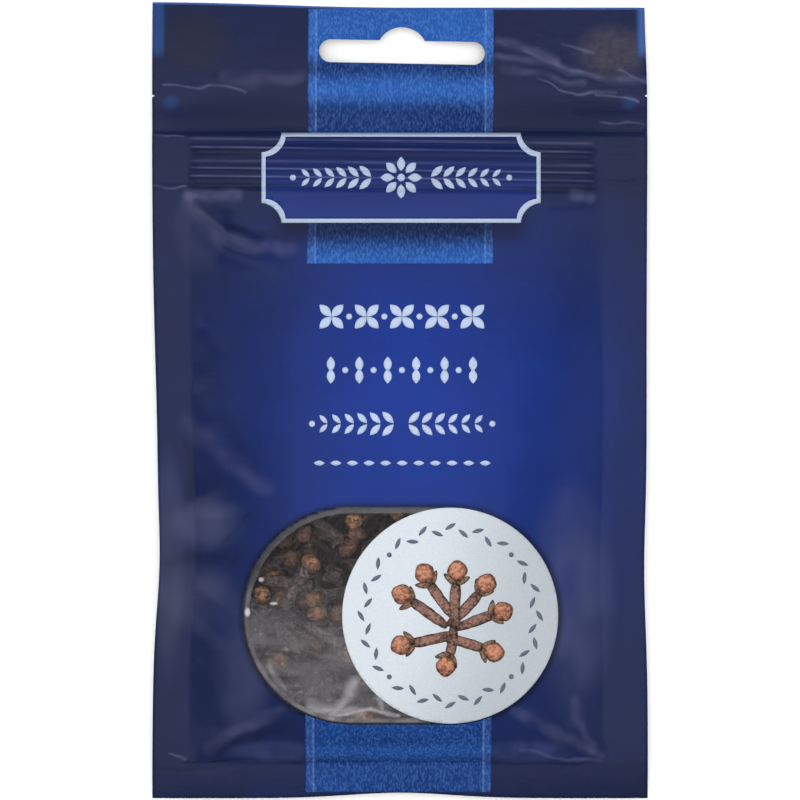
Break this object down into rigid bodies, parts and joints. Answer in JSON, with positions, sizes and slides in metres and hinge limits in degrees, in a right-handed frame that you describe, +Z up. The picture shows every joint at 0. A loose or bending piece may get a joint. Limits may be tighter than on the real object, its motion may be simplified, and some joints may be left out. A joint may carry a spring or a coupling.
{
  "type": "pouch of whole cloves",
  "caption": "Flat resealable hanging pouch of whole cloves with a press-to-close zip and a clear window, lying on its back",
  "frame": {"origin": "centre of the pouch's outline, at the level of the surface that it lies on", "axes": "+Y towards the hang hole, +Z up out of the printed front, +X to the right of the print"},
  "size_m": [0.09, 0.1446, 0.0117],
  "materials": {
    "printed_film": "satin printed plastic film, blue with a lighter ribbon and a round silver disc",
    "clear_film": "clear plastic film with a faint haze",
    "cloves": "dry wrinkled dark brown flower buds with paler round heads"
  },
  "bodies": {
    "root": {"pouch": "printed_film", "window_pane": "clear_film", "clove_heap": "cloves"}
  },
  "joints": []
}
